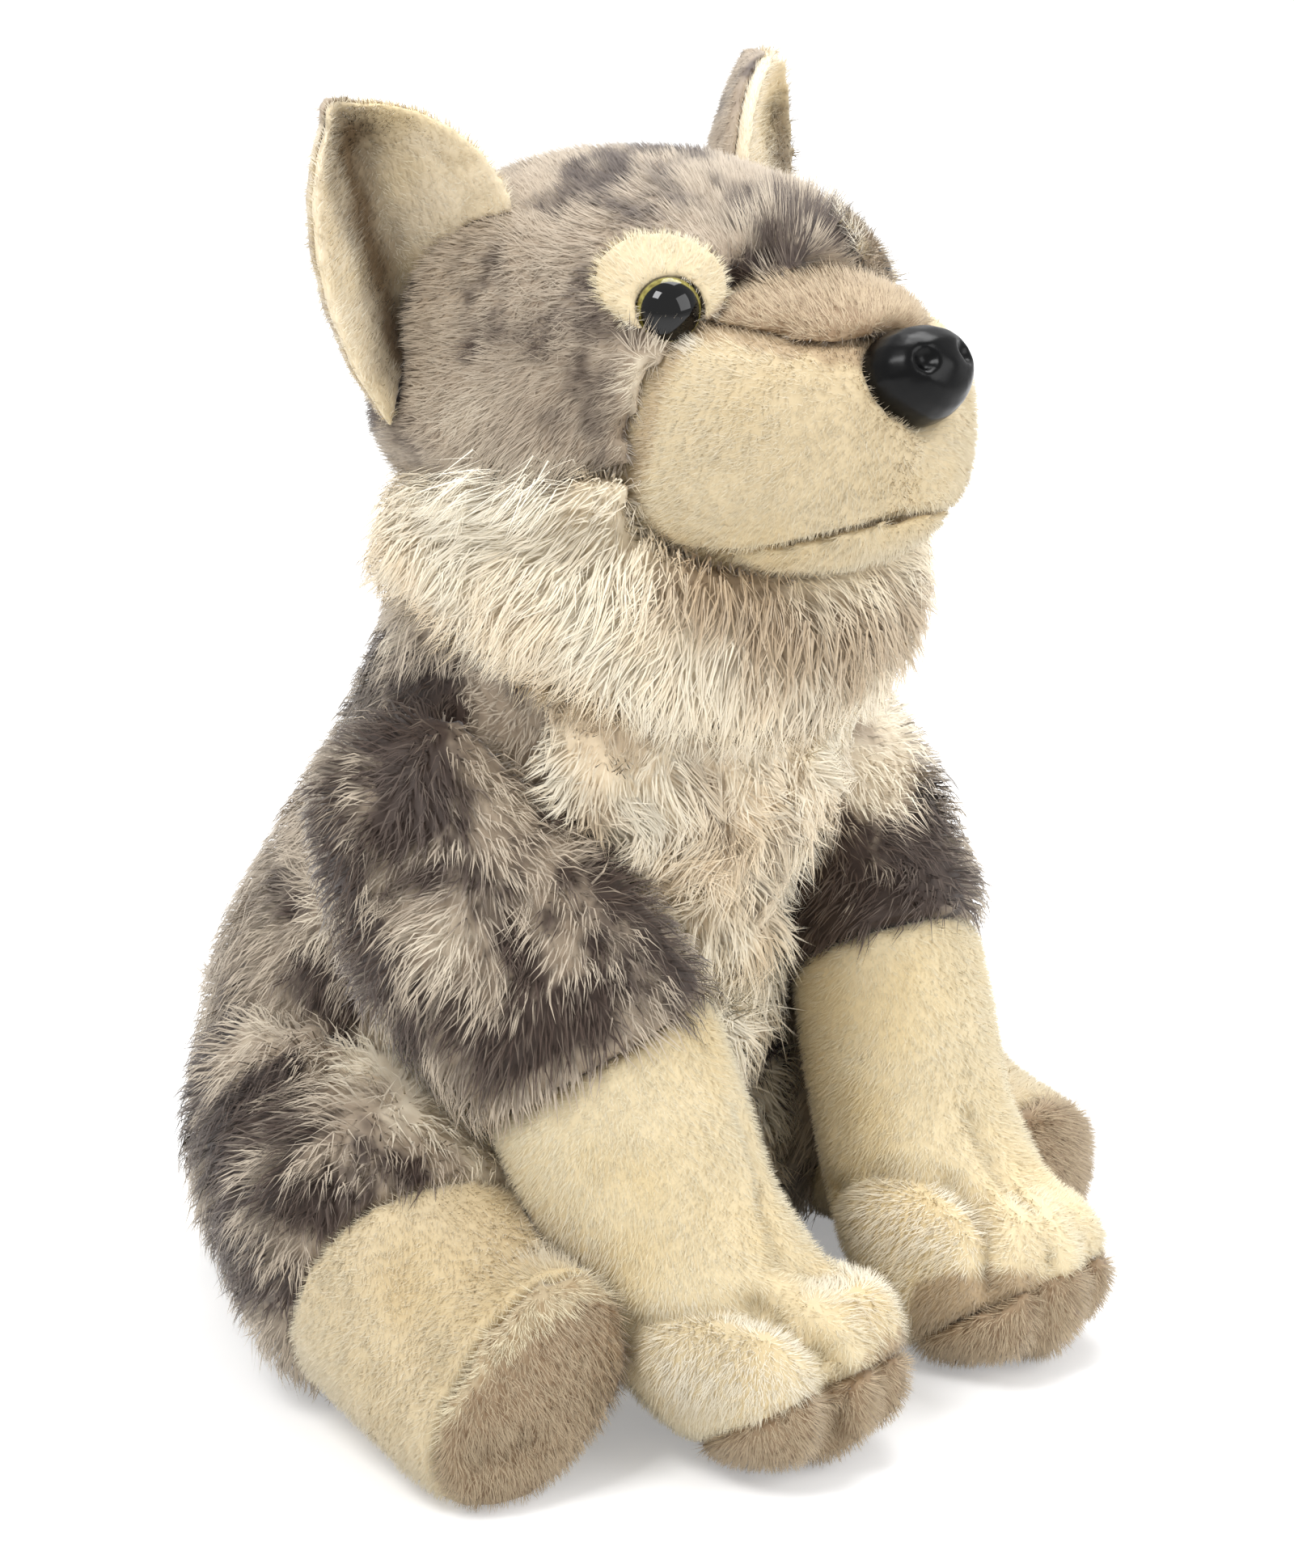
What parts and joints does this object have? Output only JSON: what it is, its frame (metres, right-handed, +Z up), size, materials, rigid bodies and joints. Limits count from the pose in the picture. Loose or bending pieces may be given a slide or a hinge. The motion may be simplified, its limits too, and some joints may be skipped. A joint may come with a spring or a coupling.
{
  "type": "plush wolf",
  "caption": "Seated soft toy wolf with mottled grey pile, a cream ruff, bib, legs and muzzle, tan soles, plastic eyes and a plastic nose.",
  "frame": {"origin": "on the ground, at the middle of the flat seat under the torso", "axes": "+Z up, the wolf faces -Y, and its own left side is +X"},
  "size_m": [0.2144, 0.241, 0.284],
  "materials": {
    "grey_long_pile": "long pile, mottled brown-grey with frosted tips",
    "cream_long_pile": "long shaggy pile, cream",
    "cream_short_pile": "short velvety pile, cream",
    "tan_short_pile": "short brushed pile, tan",
    "black_plastic": "satin gloss",
    "eye_plastic": "high gloss",
    "washer_plastic": "matt natural"
  },
  "bodies": {
    "root": {"belly_panel": "cream_long_pile", "chest_bib": "cream_long_pile", "chin": "cream_short_pile", "ear_back_left": "grey_long_pile", "ear_back_right": "grey_long_pile", "ear_lining_left": "cream_short_pile", "ear_lining_right": "cream_short_pile", "eye_left": "eye_plastic", "eye_patch_left": "cream_short_pile", "eye_patch_right": "cream_short_pile", "eye_right": "eye_plastic", "eye_washer_left": "washer_plastic", "eye_washer_right": "washer_plastic", "forepaw_pad_left": "tan_short_pile", "forepaw_pad_right": "tan_short_pile", "head": "grey_long_pile", "hind_leg_left": "cream_short_pile", "hind_leg_right": "cream_short_pile", "hindpaw_pad_left": "tan_short_pile", "hindpaw_pad_right": "tan_short_pile", "lower_foreleg_left": "cream_short_pile", "lower_foreleg_right": "cream_short_pile", "muzzle": "cream_short_pile", "muzzle_bridge": "tan_short_pile", "nose": "black_plastic", "nose_washer": "washer_plastic", "ruff": "cream_long_pile", "tail": "grey_long_pile", "thigh_left": "grey_long_pile", "thigh_right": "grey_long_pile", "torso": "grey_long_pile", "upper_foreleg_left": "grey_long_pile", "upper_foreleg_right": "grey_long_pile"}
  },
  "joints": []
}
